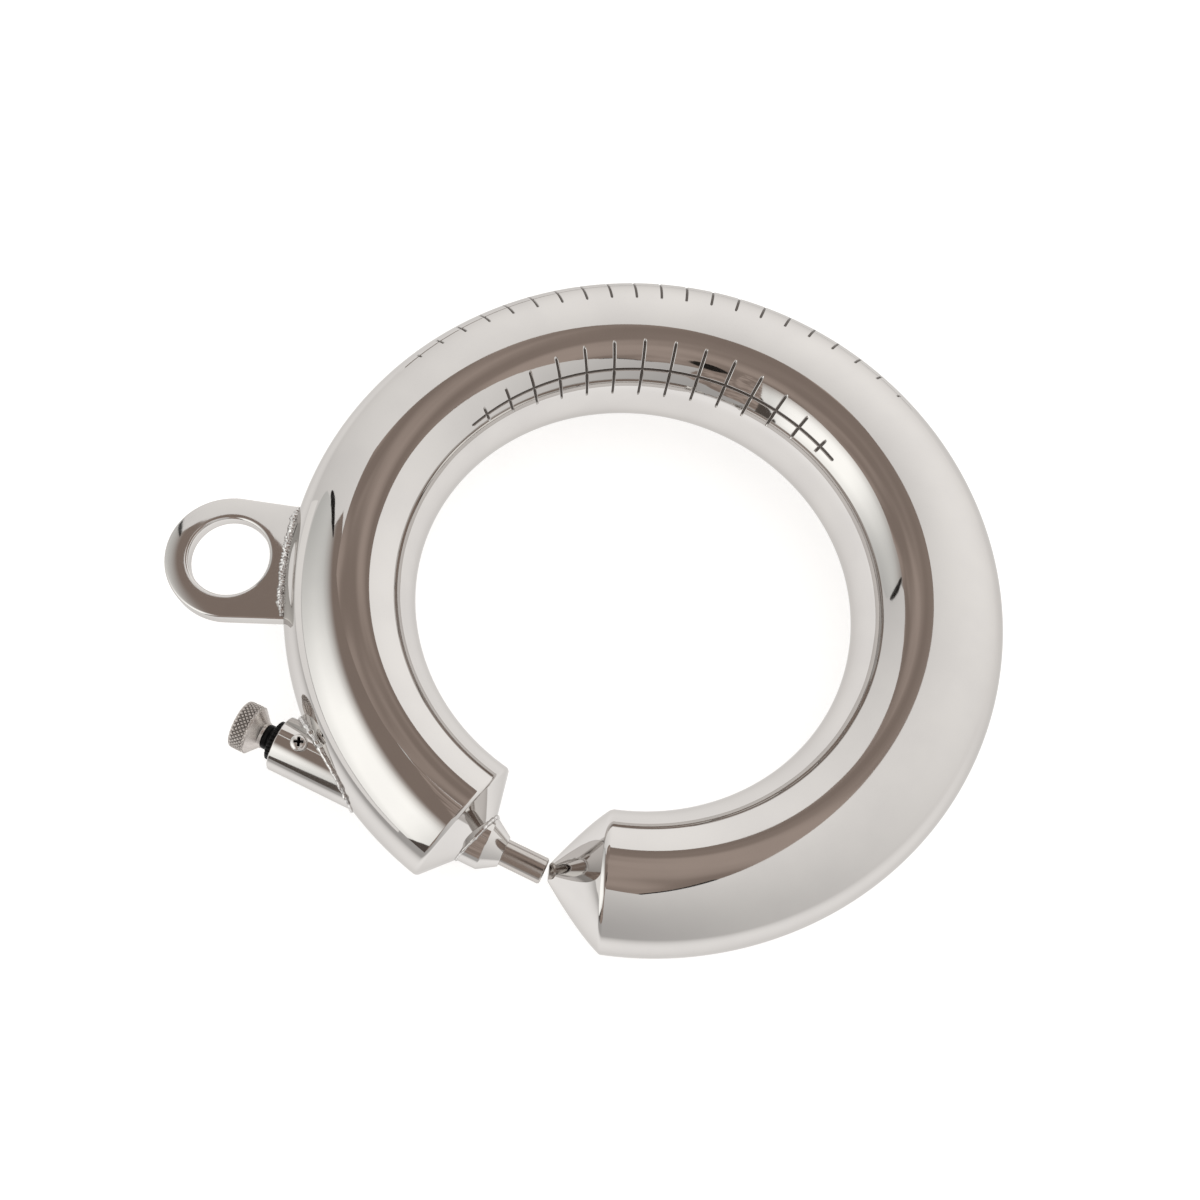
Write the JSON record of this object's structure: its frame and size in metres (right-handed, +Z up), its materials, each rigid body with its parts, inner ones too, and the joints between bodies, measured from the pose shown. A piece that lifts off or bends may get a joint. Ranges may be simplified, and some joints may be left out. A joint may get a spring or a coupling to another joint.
{
  "type": "anchor retrieval ring",
  "caption": "Heavy polished steel ring with a gap between conical ends, closed by a spring-loaded lock pin with a knurled pull knob, and a pad eye welded to its side.",
  "frame": {"origin": "centre of the bounding box on the surface that the ring lies on", "axes": "+X along the lock pin, from the pull knob to the free end; +Y from the gap across the ring; +Z up, the axis of the ring"},
  "size_m": [0.343, 0.2959, 0.057],
  "materials": {
    "polished_stainless": "mirror-polished stainless steel",
    "satin_stainless": "satin stainless steel",
    "weld_bead": "electropolished weld bead",
    "spring_steel": "drawn stainless spring wire",
    "black_plastic": "black acetal, slightly glossy",
    "liner_bronze": "sintered bearing bronze",
    "black_rubber": "matt black rubber"
  },
  "bodies": {
    "ring": {"ring_body": "polished_stainless", "free_end_cone": "polished_stainless", "pin_end_cone": "polished_stainless", "plunger_housing": "polished_stainless", "housing_weld": "weld_bead", "nose_bush": "polished_stainless", "nose_weld": "weld_bead", "nose_liner": "liner_bronze", "pin_wiper": "black_rubber", "bump_washer": "black_rubber", "guide_bush": "black_plastic", "rod_seal": "black_rubber", "bush_screw": "satin_stainless", "rear_spring_washer": "satin_stainless", "pad_eye": "polished_stainless", "pad_eye_weld_top": "weld_bead", "pad_eye_weld_bottom": "weld_bead", "return_spring": "spring_steel"},
    "thrust": {"thrust_washer": "satin_stainless"},
    "plunger": {"lock_pin": "satin_stainless", "pull_rod": "satin_stainless", "pull_knob": "satin_stainless"}
  },
  "joints": [
    {"name": "pull_slide", "type": "slide", "parent": "ring", "child": "thrust", "axis": [-1, 0, 0], "range_m": [0, 0.0176], "stiffness_N_per_m": 1200, "springref_m": -0.012, "deforming": ["return_spring"]},
    {"name": "plunger_spin", "type": "hinge", "parent": "thrust", "child": "plunger", "pos_m": [0.02202, -0.1239, 0.0285], "axis": [1, 0, 0], "continuous": true}
  ]
}
